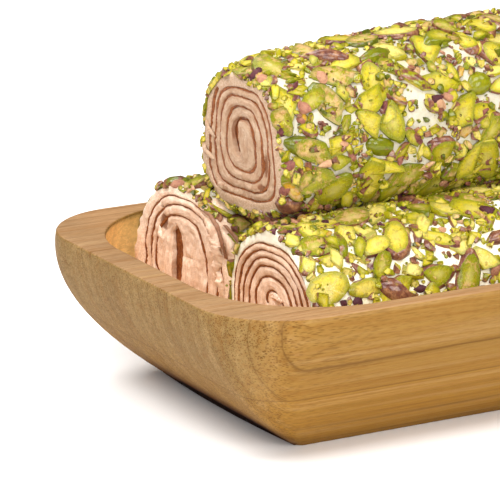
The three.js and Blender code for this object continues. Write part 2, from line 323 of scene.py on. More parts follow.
def bambooMaterial():
    looks = {
        "endGrain": paint(173, 142, 88), "longGrain": paint(185, 140, 70), "oiled": paint(202, 146, 46),
        # the inside colour is painted light: the hollow's wood, painted far paler than the outside
        "rim": paint(204, 160, 115), "rimEnd": paint(186, 150, 110), "inside": paint(314, 256, 164),
        "pore": paint(106, 68, 26), "glueLine": paint(120, 82, 38), "vein": paint(158, 102, 40),
        # the two darkest browns here are painted shade for the foot of the end walls
        "pale": paint(216, 176, 120), "paintedShadeBrown": paint(104, 54, 16), "paintedShadeDark": paint(34, 16, 6),
        "stripWidth": 5.9, "firstStrip": 58.6, "layerSeam": 20.3,   # millimetres
    }
    wood = Recipe("bamboo", {"Specular IOR Level": 0.07})
    place = wood.place()
    x, y, z = (wood.axis(place, letter) for letter in "XYZ")
    normal = wood.node("ShaderNodeNewGeometry", {}, {}, "Normal")
    hollow = wood.stored("hollow")
    acrossGrain = abs(wood.axis(normal, "X"))
    upwards = wood.axis(normal, "Z")
    wander = (wood.noise(wood.stretched(place, (0.012, 0.05, 0.05)), 1, 2) - 0.5) * 2.4
    upper = wood.step(z + wander * 0.5, looks["layerSeam"] - 0.1, looks["layerSeam"] + 0.1)
    strip = (y + wander + looks["firstStrip"]) / looks["stripWidth"] + upper * 0.5 - 0.5
    whichStrip = wood.maths("FLOOR", strip) + upper * 31   # the two layers' strips differ
    stripTone = wood.node("ShaderNodeTexWhiteNoise", {"noise_dimensions": "1D"}, {"W": whichStrip}, "Value")
    edgeOfStrip = wood.maths("PINGPONG", strip, 0.5)
    outermost = wood.step(abs(y), 54, 57) * upper * 0.42 + 0.1
    seam = (1 - wood.step(edgeOfStrip, 0.006, 0.024)) * outermost
    layerGap = abs(z + wander * 0.5 - looks["layerSeam"])
    seam = wood.maths("MAXIMUM", seam, (1 - wood.step(layerGap, 0.08, 0.35)) * 0.5)

    # bundles of fibres: dots on the end grain that run out into dashes along the strips
    fibre = wood.noise(wood.stretched(place, (0.014, 1.1, 1.1)), 1, 4, 0.65)
    lanes = wood.noise(wood.stretched(place, (0.006, 0.34, 0.34)), 1, 3, 0.6)
    cloud = wood.noise(wood.stretched(place, (0.05, 0.09, 0.09)), 1, 2)
    fine = wood.noise(wood.stretched(place, (0.25, 3.6, 3.6)), 1, 3, 0.7)
    bundles = wood.cells(wood.stretched(place, (0.1, 1.15, 1.15)))
    specks = wood.cells(wood.stretched(place, (0.3, 2.1, 2.1)))
    crowded = wood.step(cloud + edgeOfStrip * 0.3, 0.42, 0.72)
    dots = (1 - wood.step(bundles, 0.1, 0.42)) * (crowded * 0.45 + 0.3)
    dots = wood.maths("MAXIMUM", dots, (1 - wood.step(specks, 0.12, 0.5)) * 0.66)
    level = wood.step(upwards, 0.6, 0.9)
    dotted = wood.step(acrossGrain, 0.12, 0.5) * 0.62 + wood.step(abs(x), 66, 96) * 0.5 + 0.12
    dotted = dotted + wood.step(z, 24, 42) * 0.22

    colour = wood.mix(wood.step(acrossGrain, 0.35, 0.9), looks["longGrain"], looks["endGrain"])
    colour = wood.mix((1 - wood.step(z, 4, 34)) * 0.6, colour, looks["oiled"])
    # painted light: the hollow takes the much paler inside colour
    colour = wood.mix(hollow, colour, looks["inside"])
    rim = wood.mix(wood.step(abs(x), 98, 112) * 0.8, looks["rim"], looks["rimEnd"])
    colour = wood.mix(level, colour, rim)
    colour = wood.mix(wood.step(fibre, 0.42, 0.7) * 0.5, colour, looks["vein"])
    colour = wood.mix(wood.step(lanes, 0.48, 0.72) * 0.35, colour, looks["pale"])
    colour = wood.mix((1 - wood.step(lanes, 0.26, 0.46)) * 0.4, colour, looks["vein"])
    colour = wood.mix(wood.step(fine, 0.42, 0.68) * 0.3, colour, looks["vein"])
    colour = wood.mix(stripTone * 0.18, colour, looks["pore"])
    softEdge = (1 - wood.step(edgeOfStrip, 0, 0.14)) * wood.step(fibre, 0.3, 0.6) * 0.3
    colour = wood.mix(softEdge, colour, looks["pore"])
    colour = wood.mix(dots * dotted * (1 - level * 0.5) * (1 - hollow * 0.7) * 0.9, colour, looks["pore"])
    # painted light: the hollow's walls are painted paler again
    colour = wood.mix(hollow * (1 - level) * 0.45, colour, looks["inside"])
    colour = wood.mix(seam, colour, looks["glueLine"])
    atEnd = wood.step(acrossGrain, 0.3, 0.6)
    arcs = wood.noise(wood.stretched(place, (0.005, 0.2, 0.03)), 1, 3, 0.6)
    colour = wood.mix(wood.step(arcs, 0.5, 0.66) * atEnd * (1 - level) * 0.22, colour, looks["vein"])
    colour = wood.mix((1 - wood.step(arcs, 0.36, 0.5)) * atEnd * (1 - level) * 0.12, colour, looks["pale"])
    # painted shade: towards the foot the end walls darken to deep brown, then near black, where the flare's
    # underside meets the floor in shade
    rise = z + (cloud - 0.5) * 2 + wood.step(abs(y), 22, 42) * 5
    colour = wood.mix((1 - wood.step(rise, 1.5, 15)) * atEnd * 0.95, colour, looks["paintedShadeBrown"])
    colour = wood.mix((1 - wood.step(rise, 0.4, 4.6)) * atEnd * 0.95, colour, looks["paintedShadeDark"])
    wood.relief(fibre * 0.4 + fine * 0.4 - dots * 0.5 - seam * 0.5, 0.14 * mm, 0.7)
    return wood.finish(**{"Base Color": colour, "Roughness": 0.5 + fine * 0.2})


# ---- the rolls' shape, as in the solids

def section(halfWidth, halfHeight, squareness, middle=(0, 0), sag=0, tilt=0):
    return np.array([halfWidth, halfHeight, squareness, *middle, sag, tilt], float)


rollPlans = [
    # Millimetres and degrees. windings are the seam's sections after so many turns; spread is half the
    # chocolate's thickness and how deep it lies, at some turns; stains are (side, up, radii, strength) and
    # scraps (path of side, up and out, half width, stain), both on the near cut; bare and torn are reaches
    # from the near cut between two angles, without nuts and without a smooth coat; a paleness over 1 makes
    # the roll's nuts paler, and smeared is how much nougat shows on the coat's own cut. The front and back
    # rolls' nougat and coat colours, and the front roll's paleness, are painted light: they are made paler
    # to stand in for the light these rolls lack in the shade of the top roll and the dish
    {
        "name": "front", "start": [-87, -25.2, 34.7], "length": 174, "yaw": 0.3, "slant": 0, "rise": 0.8,
        "narrowing": 0.02, "coat": section(26.1, 26, 2.3, sag=0.06),
        "cut": section(24.8, 24.2, 2.15, (-0.2, 0.6), 0.02, -2),
        "windings": [(0, section(2.2, 2.4, 2, (0.4, 2.6))),
                     (5.7, section(23.4, 21.2, 2.45, (-0.3, 0.3), 0.02, -2.5))],
        # paler than the top roll's colours: painted light for this roll's shade under the top roll and the
        # dish's rim
        "tonesWithPaintedLight": {"nougat": (276, 232, 196), "pale": (302, 266, 236), "brown": (236, 172, 124),
                   "groove": (184, 120, 80), "cream": (304, 296, 270), "butter": (286, 274, 232)},
        # the front roll's high paleness is painted light: its nuts are made paler for the light this roll
        # lacks
        "paleness": 2.4, "bare": [], "torn": (0, 0, 0),
        "startAngle": 10, "growth": 0.62, "roughness": 0.9, "seed": 11, "smeared": 0.2,
        "spread": [(0, 0.3, 0.3), (1, 0.18, 0.15), (5.7, 0.18, 0.15)],
        "stains": [(-3.8, 5.4, 2.4, 1, 0.6)],
        "scraps": [([(-0.5, 5.2, 0.2), (-3, 6.4, 0.6), (-6, 5.4, 0.3)], 0.9, 0.4)],
    },
    {
        "name": "back", "start": [-88, 27.8, 35.2], "length": 175, "yaw": 0.3, "slant": -6, "rise": 0.4,
        "narrowing": 0.02, "coat": section(26.3, 26.4, 2.25, sag=0.09),
        "cut": section(25, 25, 2.35, sag=0.09),
        "windings": [(0, section(1.1, 7.8, 2, (2.8, 4.8))), (0.42, section(1.4, 9.5, 2, (2.8, 3))),
                     (0.72, section(12.2, 15, 2.2, (0.8, 0.5))), (1, section(12.4, 16, 2.3, (0.5, 0.6))),
                     (2, section(17, 19.6, 2.35, (-0.2, 0.4))),
                     (3.35, section(21.3, 23, 2.4, (-0.4, 0.2), 0.04))],
        # paler than the top roll's colours: painted light for this roll's shade beside the top roll and under
        # the dish's rim
        "tonesWithPaintedLight": {"nougat": (280, 238, 204), "pale": (304, 270, 240), "brown": (236, 174, 128),
                   "groove": (184, 120, 80), "cream": (286, 276, 250), "butter": (272, 256, 218)},
        "paleness": 1, "bare": [(4.5, -1, 1.1), (5, 2.3, 3.7)], "torn": (6.5, 2, 3.8),
        "startAngle": 95, "growth": 1, "roughness": 1.5, "seed": 23, "smeared": 0.85,
        "spread": [(0, 0.6, 1.2), (0.08, 1.4, 1.5), (0.34, 1.5, 1.5), (0.44, 0.26, 0.4), (3.35, 0.24, 0.25)],
        "stains": [(9, 13.6, 2.1, 3, 0.9), (-4.3, 4.8, 3.6, 0.4, 0.5), (-14, 21.5, 6, 1, 0.7)],
        "scraps": [([(-19.5, 18, -1.5), (-24, 13, -4.2), (-26.6, 6.5, -5.6), (-26.8, 0, -4.6),
                     (-26, -6, -2)], 1.1, 1),
                   ([(-19, 17.6, 0.2), (-23.6, 12, -1), (-25.8, 6, -2.2), (-26, -1, -1.6)], 1.9, 0.15),
                   ([(-15.5, 15.5, 0.2), (-18.5, 12, 1.2), (-19.6, 7, 0.9), (-18.6, 2, 0.2)], 1.6, 0.15),
                   ([(-19, 4.6, 0.2), (-21.4, 1, 0.9), (-21.6, -4, 0.2)], 1.3, 0.25),
                   ([(-11, 20.8, 0.3), (-16.5, 20.6, 1.4), (-21, 18.2, 1.9), (-23.6, 13.6, 1.8),
                     (-23.4, 9, 0.6)], 0.85, 1),
                   ([(-13, 18.6, 0.2), (-17.5, 17, 1.1), (-20.8, 12.6, 1.1), (-20.4, 6, 0.3)], 2.3, 0.12),
                   ([(11.2, 11.4, 0.2), (9.4, 8.4, 0.9), (9.6, 5.6, 0.2)], 0.9, 0)],
    },
    {
        "name": "top", "start": [-82, 0.4, 78.6], "length": 174, "yaw": 1, "slant": 0, "rise": 3.3,
        "narrowing": 0.05, "coat": section(25.8, 24.9, 2.3),
        "cut": section(22.2, 19.6, 2.9, (1.2, 0.6), 0.14, -2),
        "windings": [(0, section(2.6, 4.4, 2.3, (0.5, 1.2))),
                     (4.3, section(19.1, 17.5, 3.8, (0.7, 1.2), 0.19, -3.6))],
        "tonesWithPaintedLight": {"nougat": (220, 178, 142), "pale": (244, 210, 178), "brown": (186, 130, 90),
                   "groove": (158, 88, 44), "cream": (248, 240, 218), "butter": (238, 224, 190)},
        "paleness": 1.1, "bare": [], "torn": (0, 0, 0),
        "startAngle": -60, "growth": 0.722, "roughness": 1, "seed": 37, "smeared": 1,
        "spread": [(0, 1.2, 1.4), (0.3, 1.4, 1.5), (0.46, 0.8, 1), (0.56, 0.26, 0.25), (0.8, 0.36, 0.3),
                   (0.94, 0.36, 0.3), (1.05, 0.28, 0.2), (3.2, 0.28, 0.2), (3.36, 0.42, 0.3), (3.5, 0.3, 0.2),
                   (4.3, 0.34, 0.25)],
        "stains": [(-12.2, -3.4, 1.3, 4.6, 0.85), (-10.4, -10.2, 2.8, 1.3, 0.8),
                   (-19.4, -11.8, 1.7, 2.9, 0.9), (-15, 9, 1.6, 4, 0.4)],
        "scraps": [([(21.6, 3.4, 0.3), (19.6, 1.2, 0.8), (16.6, -0.8, 0.4)], 0.8, 0.3),
                   ([(23.4, -3, 0.2), (21.4, -6, 0.9), (18, -7.6, 0.3)], 0.9, 0.2),
                   ([(15.5, -12.6, 0.3), (12.5, -14.4, 0.8), (8.6, -14.6, 0.2)], 1, 0.4)],
    },
]
cutReach = 5      # millimetres over which a roll takes the shape of its cut
farSeed = 50      # added to a roll's seed for its far cut
rimRound = {"radius": 1.4, "spread": 0.7}


def sectionPoints(shape, angles):
    halfWidth, halfHeight, squareness, middle, lift, sag, tilt = np.moveaxis(np.asarray(shape), -1, 0)

    def bend(value):
        return np.sign(value) * np.abs(value) ** (2 / squareness)

    up = bend(np.sin(angles))
    side, height, tilt = halfWidth * bend(np.cos(angles)) * (1 - sag * up), halfHeight * up, np.radians(tilt)
    return np.stack([side * np.cos(tilt) - height * np.sin(tilt) + middle,
                     side * np.sin(tilt) + height * np.cos(tilt) + lift], -1)


def rollAxes(plan):
    yaw = math.radians(plan["yaw"])
    return np.array([[math.cos(yaw), -math.sin(yaw), 0], [math.sin(yaw), math.cos(yaw), 0], [0, 0, 1]])


def toObject(plan, points):
    # from a roll's own axes to the object's
    return points @ rollAxes(plan).T + plan["start"]


def alongAndAcross(plan, points):
    # how far along and across a roll points of the object lie
    yaw = math.radians(plan["yaw"])
    away = points - plan["start"]
    along = away[:, 0] * math.cos(yaw) + away[:, 1] * math.sin(yaw)
    return along, away[:, 1] * math.cos(yaw) - away[:, 0] * math.sin(yaw)


def slanted(plan, points):
    shift = math.tan(math.radians(plan["slant"])) * points[:, 1] * (1 - points[:, 0] / plan["length"])
    return points + np.stack([shift, shift * 0, shift * 0], 1)


def coatSurface(plan, x, angles):
    # points on the bare coat, in the roll's own axes, with the rims of its cuts rounded
    x, angles = np.broadcast_arrays(np.asarray(x, float), np.asarray(angles, float))
    swell = np.sin(np.pi * np.clip(x / plan["length"], 0, 1))
    fromEnd = np.minimum(x, plan["length"] - x).clip(0)
    body = sectionPoints(plan["coat"], angles) * (1 - plan["narrowing"] * (1 - swell))[..., None]
    flat = body + (sectionPoints(plan["cut"], angles) - body) * np.exp(-fromEnd / cutReach)[..., None]
    ring = np.stack([np.cos(angles) * 24, np.sin(angles) * 24, 0.05 * x], -1).reshape(-1, 3)
    radius = rimRound["radius"] + rimRound["spread"] * lumps(ring, 5, plan["seed"] + 60).reshape(x.shape)
    short = np.clip(1 - fromEnd / radius, 0, 1)
    inset = radius * (1 - np.sqrt(1 - short ** 2))
    flat = flat - unit(flat) * inset[..., None]
    points = np.stack([x, flat[..., 0], flat[..., 1] + plan["rise"] * swell], -1).reshape(-1, 3)
    return slanted(plan, points)


def lastTurn(plan):
    return plan["windings"][-1][0]


def seamPoints(plan, turns):
    whole = lastTurn(plan)
    grown = whole * (np.clip(turns, 0, None) / whole) ** plan["growth"]
    keys = [turn for turn, _ in plan["windings"]]
    shapes = np.array([shape for _, shape in plan["windings"]])
    shape = np.stack([np.interp(grown, keys, shapes[:, field]) for field in range(shapes.shape[1])], -1)
    return sectionPoints(shape, math.radians(plan["startAngle"]) + np.asarray(turns) * 2 * np.pi)


seamShape = {
    "turnSteps": 150,    # points on one winding
    "unevenness": 0.4,   # of the chocolate's thickness
    "waviness": 0.32,
    "raggedness": 0.18,
}


def seamEdge(plan, first, last, side):
    # the seam's inner (side -1) or outer (side 1) edge, wavy and uneven
    turns = np.linspace(first, last, int(round((last - first) * seamShape["turnSteps"])))
    points = seamPoints(plan, turns)
    along = seamPoints(plan, turns + 0.002) - points
    outwards = unit(np.stack([along[:, 1], -along[:, 0]], 1))
    flat = np.column_stack([points, turns * 9])   # the noise differs from one winding to the next
    seed = plan["seed"]
    calm = np.clip((lastTurn(plan) - turns) / 0.6, 0.25, 1) * np.clip(turns * 3, 0.2, 1)
    wave = (lumps(flat, 7, seed) + 0.4 * lumps(flat, 2.4, seed + 1)) * seamShape["waviness"] * calm
    keys, halves, _ = zip(*plan["spread"])
    half = np.interp(turns, keys, halves) * (1 + seamShape["unevenness"] * lumps(flat, 4, seed + 2))
    ragged = seamShape["raggedness"] * lumps(flat, 0.9, seed + 3 + side)
    half = half * (0.72 + 0.75 * outwards[:, 0] ** 2) + ragged   # thicker where the seam stands upright
    return points + outwards * (wave + side * half.clip(0.12))[:, None], turns


def facePoints(plan, flat, depth, far):
    # lifts outline points to the near or far cut face
    x = plan["length"] - depth if far else depth
    points = np.column_stack([np.broadcast_to(x, len(flat)), flat])
    return toObject(plan, slanted(plan, points))


def stainOn(plan, flat):
    # where chocolate is smeared over the cut, from 0 to 1
    total = np.zeros(len(flat))
    at, seed = onPlane(flat), plan["seed"]
    ragged = 1 + 0.7 * lumps(at, 2, seed + 31) + 0.5 * lumps(at, 0.8, seed + 32)
    for side, up, reach, rise, strength in plan["stains"]:
        away = ((flat[:, 0] - side) / reach) ** 2 + ((flat[:, 1] - up) / rise) ** 2
        total = np.maximum(total, strength * np.exp(-(away * ragged.clip(0.3)) ** 1.5))
    return total


def cutRelief(plan, flat, far):
    # how far each point of the cut lies below its plane
    at, seed = onPlane(flat), plan["seed"] + (farSeed if far else 0)
    layer = lumps(at, 6, seed) * 0.35 + lumps(at, 2, seed + 1) * 0.14
    return (layer + lumps(at, 0.8, seed + 2) * 0.07) * plan["roughness"]


nougatShape = {
    "spacing": 0.5,         # between the points that fill the cut
    "clearOfEdge": 0.25,    # how near they come to the seam
    "softEdge": 0.4, "softReach": 0.45,   # how the cut rounds over into the seam
    "steps": 0.28, "ridges": 0.12, "sunkStain": 0.5,
    "wallDepth": 3,         # where the seam's walls meet the sheet's inner rims
}


def fillOutline(outline):
    # triangles over a closed outline: points, triangles, the outline's indices, nearest place on it and gap
    count, spacing = len(outline), nougatShape["spacing"]
    tree = KDTree(count)
    for index, (u, v) in enumerate(outline):
        tree.insert((u, v, 0), index)
    tree.balance()
    low, high = outline.min(0), outline.max(0)
    columns = np.arange(low[0], high[0], spacing)
    rows = np.arange(low[1], high[1], spacing * 0.866)
    fill = []
    for index, v in enumerate(rows):
        for u in columns + (index % 2) * spacing / 2:
            if tree.find((u, v, 0))[2] > nougatShape["clearOfEdge"]:
                fill.append((u, v))
    seeds = [Vector(point) for point in np.concatenate([outline, np.array(fill)]).tolist()]
    made = delaunay_2d_cdt(seeds, [], [list(range(count))], 1, 1e-6)
    flat, triangles = np.array([tuple(point) for point in made[0]]), np.array(made[2])
    atOutline = {source: index for index, origin in enumerate(made[3]) for source in origin if source < count}
    loop = np.array([atOutline[index] for index in range(count)])
    nearest = [tree.find((u, v, 0))[1:] for u, v in flat]
    gaps = np.array([distance for _, distance in nearest])
    return flat, triangles, loop, [index for index, _ in nearest], gaps


def buildNougat(plan, material):
    whole, seed = lastTurn(plan), plan["seed"]
    inner, innerTurns = seamEdge(plan, 0, whole, -1)
    outer, outerTurns = seamEdge(plan, 0, whole - 1, 1)
    outline = np.concatenate([inner, outer[::-1]])
    sheetTurns = np.concatenate([innerTurns, outerTurns[::-1] + 1])
    fine = np.linspace(0, whole + 1, 800)
    stretch = np.linalg.norm(np.diff(seamPoints(plan, fine.clip(0, whole)), axis=0), axis=1)
    windAt = np.interp(sheetTurns, fine, np.concatenate([[0], np.cumsum(stretch)]))   # along the sheet
    flat, triangles, loop, nearest, gaps = fillOutline(outline)
    count, size, wind = len(outline), len(flat), windAt[nearest]

    def depth(far):
        shape, none = nougatShape, gaps * 0
        steps = shape["steps"] * lumps(np.column_stack([wind, none, none]), 16, seed + 40 + far)
        ridges = shape["ridges"] * lumps(np.column_stack([wind / 7, gaps, none]), 0.7, seed + 42 + far)
        soft = shape["softEdge"] * np.exp(-(gaps / shape["softReach"]) ** 2)
        stained = 0 if far else shape["sunkStain"] * stainOn(plan, flat)
        return (soft + steps + ridges + cutRelief(plan, flat, far) + stained).clip(-0.4)

    cuts = [facePoints(plan, flat, depth(far), far) for far in (False, True)]
    walls = [facePoints(plan, flat[loop], nougatShape["wallDepth"], far) for far in (False, True)]
    rims = [loop, 2 * size + np.arange(count), 2 * size + count + np.arange(count), size + loop]
    faces = triangles[:, ::-1].tolist() + (triangles + size).tolist()
    for here, there in zip(rims[:-1], rims[1:]):
        faces += np.stack([here, np.roll(here, -1), np.roll(there, -1), there], 1).tolist()
    values = {"edgeGap": np.concatenate([gaps, gaps, np.zeros(2 * count)]),
              "stain": np.concatenate([stainOn(plan, flat), np.zeros(size + 2 * count)]),
              "wind": np.concatenate([wind, wind, windAt, windAt])}
    return makePiece(plan["name"] + "_nougat_sheet", np.concatenate([*cuts, *walls]), faces, material,
                     [plan["name"] + "_nougat"], values=values)


def buildChocolate(plan, material):
    first, last = 0.005, lastTurn(plan) + 0.004
    inner, turns = seamEdge(plan, first, last, -1)
    outer, _ = seamEdge(plan, first, last, 1)
    keys, _, depths = zip(*plan["spread"])
    uneven = lumps(np.column_stack([(inner + outer) / 2, turns]), 3, plan["seed"] + 7)
    sunk = np.interp(turns, keys, depths) + 0.25 * uneven
    rows = []
    for far in (False, True):
        for share, dip in ((0, 0), (0.3, 0.1), (0.7, 0.12), (1, 0)):
            flat = inner * (1 - share) + outer * share
            rows.append(facePoints(plan, flat, sunk + dip + cutRelief(plan, flat, far), far))
    order = [0, 1, 2, 3, 7, 6, 5, 4]   # round the ribbon's section
    ring = np.stack([rows[index] for index in order], 1)
    return makePiece(plan["name"] + "_chocolate_spread", ring.reshape(-1, 3), tubeFaces(*ring.shape[:2]),
                     material, [plan["name"] + "_chocolate"])


scrapShape = {
    "rounds": 70, "sides": 24,
    "thickness": 0.75,   # of the width
    "lumps": [(3, 0.45), (1.3, 0.5), (0.5, 0.2)],   # size in millimetres, height in half widths
}


def buildScraps(plan, material):
    # torn shreds of nougat left standing on the near cut
    rounds, sides = scrapShape["rounds"], scrapShape["sides"]
    share = np.linspace(0, 1, rounds)
    turn = np.arange(sides) * 2 * np.pi / sides
    points, faces, stains = [], [], []
    for number, (path, half, stain) in enumerate(plan["scraps"]):
        keys = np.linspace(0, 1, len(path))
        side, up, out = (np.interp(share, keys, column) for column in zip(*path))
        along = unit(np.stack([np.gradient(side), np.gradient(up)], 1))
        across = np.stack([along[:, 1], -along[:, 0]], 1)
        thin = half * (0.25 + 0.75 * np.sin(np.pi * share.clip(0.03, 0.97)) ** 0.5)
        flat = np.stack([side, up], 1)[:, None] + across[:, None] * (np.cos(turn) * thin[:, None])[..., None]
        depth = 0.5 - out[:, None] - np.sin(turn) * thin[:, None] * scrapShape["thickness"]
        ring = facePoints(plan, flat.reshape(-1, 2), depth.reshape(-1), False)
        for size, high in scrapShape["lumps"]:
            uneven = high * half * lumps(ring, size, plan["seed"] + 80 + number)
            ring = ring + uneven[:, None] * [-0.6, 0.6, 0.6]
        points.append(ring)
        faces += tubeFaces(rounds, sides, number * rounds * sides)
        stains.append(stain * np.tile((np.cos(turn - 0.5) * 1.4 + 0.1).clip(0, 1), rounds))
    points = np.concatenate(points)
    values = {"edgeGap": np.full(len(points), 1.5), "stain": np.concatenate(stains),
              "wind": np.arange(len(points)) / sides}
    makePiece(plan["name"] + "_torn_shreds", points, faces, material, values=values)


coatShape = {
    "sides": 210, "rings": 130,
    "lumps": [(11, 0.35), (4, 0.25), (1.6, 0.1)],   # size and height, millimetres
    # across the coat's own cut: share of the way out from the seam, depth, smear of nougat
    "cutRows": [(0, 3, 1), (0, 0.5, 1), (0.12, 0.1, 1), (0.35, 0, 1), (0.6, 0, 0.95), (0.82, 0, 0.85),
                (0.97, 0.1, 0.7)],
    "ragged": 0.5, "raggedReach": 2, "smearReach": 1.2,   # near the cuts
}


def creamLumps(plan, points):
    return sum(lumps(points, size, plan["seed"] + 70 + index) * high
               for index, (size, high) in enumerate(coatShape["lumps"]))


def outwardsAt(plan, x, angles):
    around = coatSurface(plan, x, angles + 0.02) - coatSurface(plan, x, angles - 0.02)
    along = coatSurface(plan, x + 0.4, angles) - coatSurface(plan, x - 0.4, angles)
    return unit(np.cross(around, along))


def seamAt(plan, angles):
    # where the seam's last winding passes at each of the coat's angles
    firstTurn = lastTurn(plan) - 1
    offset = (angles - math.radians(plan["startAngle"])) / (2 * np.pi)
    turns = firstTurn + np.mod(offset - firstTurn, 1)
    order = np.argsort(turns)
    bore = np.empty((len(angles), 2))
    edge, edgeTurns = seamEdge(plan, firstTurn, lastTurn(plan), 1)
    for axis in (0, 1):
        bore[order, axis] = np.interp(turns[order], edgeTurns, edge[:, axis])
    return bore


def buildCoat(plan, material):
    shape, sides, length, seed = coatShape, coatShape["sides"], plan["length"], plan["seed"]
    angles = np.arange(sides) * 2 * np.pi / sides
    bore = seamAt(plan, angles)
    tints, rings = [], []

    def add(ring, tint):
        rings.append(ring)
        tints.append(np.broadcast_to(tint, sides))

    def addCut(far):
        rim = coatSurface(plan, length if far else 0.0, angles)[:, 1:]
        for share, sunk, tint in shape["cutRows"][::-1 if far else 1]:
            flat = bore * (1 - share) + rim * share
            uneven = cutRelief(plan, flat, far) * 0.8 if sunk < 1 else 0
            add(facePoints(plan, flat, sunk + uneven, far), tint * plan["smeared"])

    addCut(False)
    spacing = 0.5 - 0.5 * np.cos(np.linspace(0, np.pi, shape["rings"]))   # closer near the cuts
    reach, first, last = plan["torn"]
    for x in 0.25 + (length - 0.5) * spacing:
        surface = coatSurface(plan, np.full(sides, x), angles)
        fromEnd = min(x, length - x)
        ragged = shape["ragged"] * lumps(surface, 1.8, seed + 90) * math.exp(-fromEnd / shape["raggedReach"])
        torn = (np.mod(angles - first, 2 * np.pi) < last - first) * np.clip((reach - x) * 0.6, 0, 1)
        ragged = ragged + torn * 0.5 * lumps(surface, 1.1, seed + 91)
        raised = outwardsAt(plan, np.full(sides, x), angles) * (creamLumps(plan, surface) + ragged)[:, None]
        smear = plan["smeared"] * math.exp(-fromEnd / shape["smearReach"]) * 0.7
        add(toObject(plan, surface + raised), np.maximum(smear, torn))
    addCut(True)
    faces = gridFaces(len(rings), sides).tolist()
    last = (len(rings) - 1) * sides
    for side in range(sides):   # the bore, from the far cut back to the near one
        after = (side + 1) % sides
        faces.append([last + side, last + after, after, side])
    return makePiece(plan["name"] + "_cream_coat", np.concatenate(rings), faces, material,
                     [plan["name"] + "_coat"], values={"tint": np.concatenate(tints)})


def creamMaterial(plan):
    # the roll's own colours; on the front and back rolls they are painted paler, as painted light
    looks = {"stain": paint(236, 220, 146), "dust": paint(214, 200, 96),
             **{key: paint(*shade) for key, shade in plan["tonesWithPaintedLight"].items()}}
    coat = Recipe(plan["name"] + "_coat", {
        "Roughness": 0.5, "Specular IOR Level": 0.25, "Subsurface Weight": 0.12,
        "Subsurface Scale": 1.5 * mm, "Subsurface Radius": (1, 0.85, 0.6)})
    place = coat.place()
    cloudy = coat.noise(place, 0.3, 3)
    stained = coat.step(coat.noise(place, 0.25, 4, 0.65), 0.5, 0.68)
    dusty = coat.step(coat.noise(place, 1.3, 4, 0.75), 0.54, 0.7)
    grain = coat.noise(place, 1.6, 4, 0.65)
    colour = coat.mix(coat.step(cloudy, 0.4, 0.75) * 0.6, looks["cream"], looks["butter"])
    tint = coat.stored("tint")
    outside = 1 - coat.step(tint, 0, 0.2)
    colour = coat.mix(stained * outside * 0.45, colour, looks["stain"])
    colour = coat.mix(dusty * outside * 0.5, colour, looks["dust"])
    smear = coat.mix(coat.step(grain, 0.4, 0.62), looks["nougat"], looks["pale"])
    colour = coat.mix(coat.step(tint + (grain - 0.5) * 0.9, 0.15, 0.6), colour, smear)
    coat.relief(cloudy + grain, 0.35 * mm, 0.6)
    return coat.finish(**{"Base Color": colour})


def nougatMaterial(plan):
    # the roll's own colours; on the front and back rolls they are painted paler, as painted light
    looks = {"smear": paint(148, 84, 42), **{key: paint(*shade) for key, shade in plan["tonesWithPaintedLight"].items()}}
    sheet = Recipe(plan["name"] + "_nougat", {
        "Specular IOR Level": 0.25, "Subsurface Weight": 0.08,
        "Subsurface Scale": 1.2 * mm, "Subsurface Radius": (1, 0.7, 0.5)})
    place = sheet.place()
    gap = sheet.stored("edgeGap")
    blotch = sheet.noise(place, 0.35, 4, 0.6)
    grain = sheet.noise(place, 2.4, 3, 0.65)
    lanes = sheet.node("ShaderNodeCombineXYZ", {},
                       {"X": sheet.stored("wind") * 0.15, "Y": gap * 1.5, "Z": blotch * 1.2})
    streak = sheet.noise(lanes, 1, 3, 0.6)
    colour = sheet.mix(sheet.step(blotch, 0.35, 0.7), looks["nougat"], looks["pale"])
    colour = sheet.mix(sheet.step(streak, 0.45, 0.7) * 0.5, colour, looks["brown"])
    colour = sheet.mix(sheet.step(grain, 0.5, 0.75) * 0.3, colour, looks["brown"])
    # towards the seam and down its walls the nougat turns brown: partly chocolate smeared at the sheet's
    # edge, partly painted shade in the groove
    smear = 1 - sheet.step(gap + (grain - 0.5) * 0.5, 0.05, 0.5)
    smear = smear * (0.15 + sheet.step(streak, 0.35, 0.65) * 0.4)
    colour = sheet.mix(smear, colour, looks["groove"])
    stain = sheet.step(sheet.stored("stain") + (grain - 0.5) * 0.7, 0.25, 0.75)
    colour = sheet.mix(stain * 0.85, colour, looks["smear"])
    sheet.relief(grain + blotch + streak, 0.3 * mm, 0.65)
    return sheet.finish(**{"Base Color": colour, "Roughness": 0.5 + grain * 0.15})


def chocolateMaterial():
    paste = Recipe("chocolate", {"Specular IOR Level": 0.25})
    place = paste.place()
    blotch = paste.noise(place, 1.1, 4, 0.6)
    colour = paste.mix(paste.step(blotch, 0.35, 0.7), paint(146, 76, 34), paint(192, 116, 62))
    paste.relief(blotch, 0.35 * mm, 0.6)
    return paste.finish(**{"Base Color": colour, "Roughness": 0.4 + blotch * 0.25})


# ---- pistachios

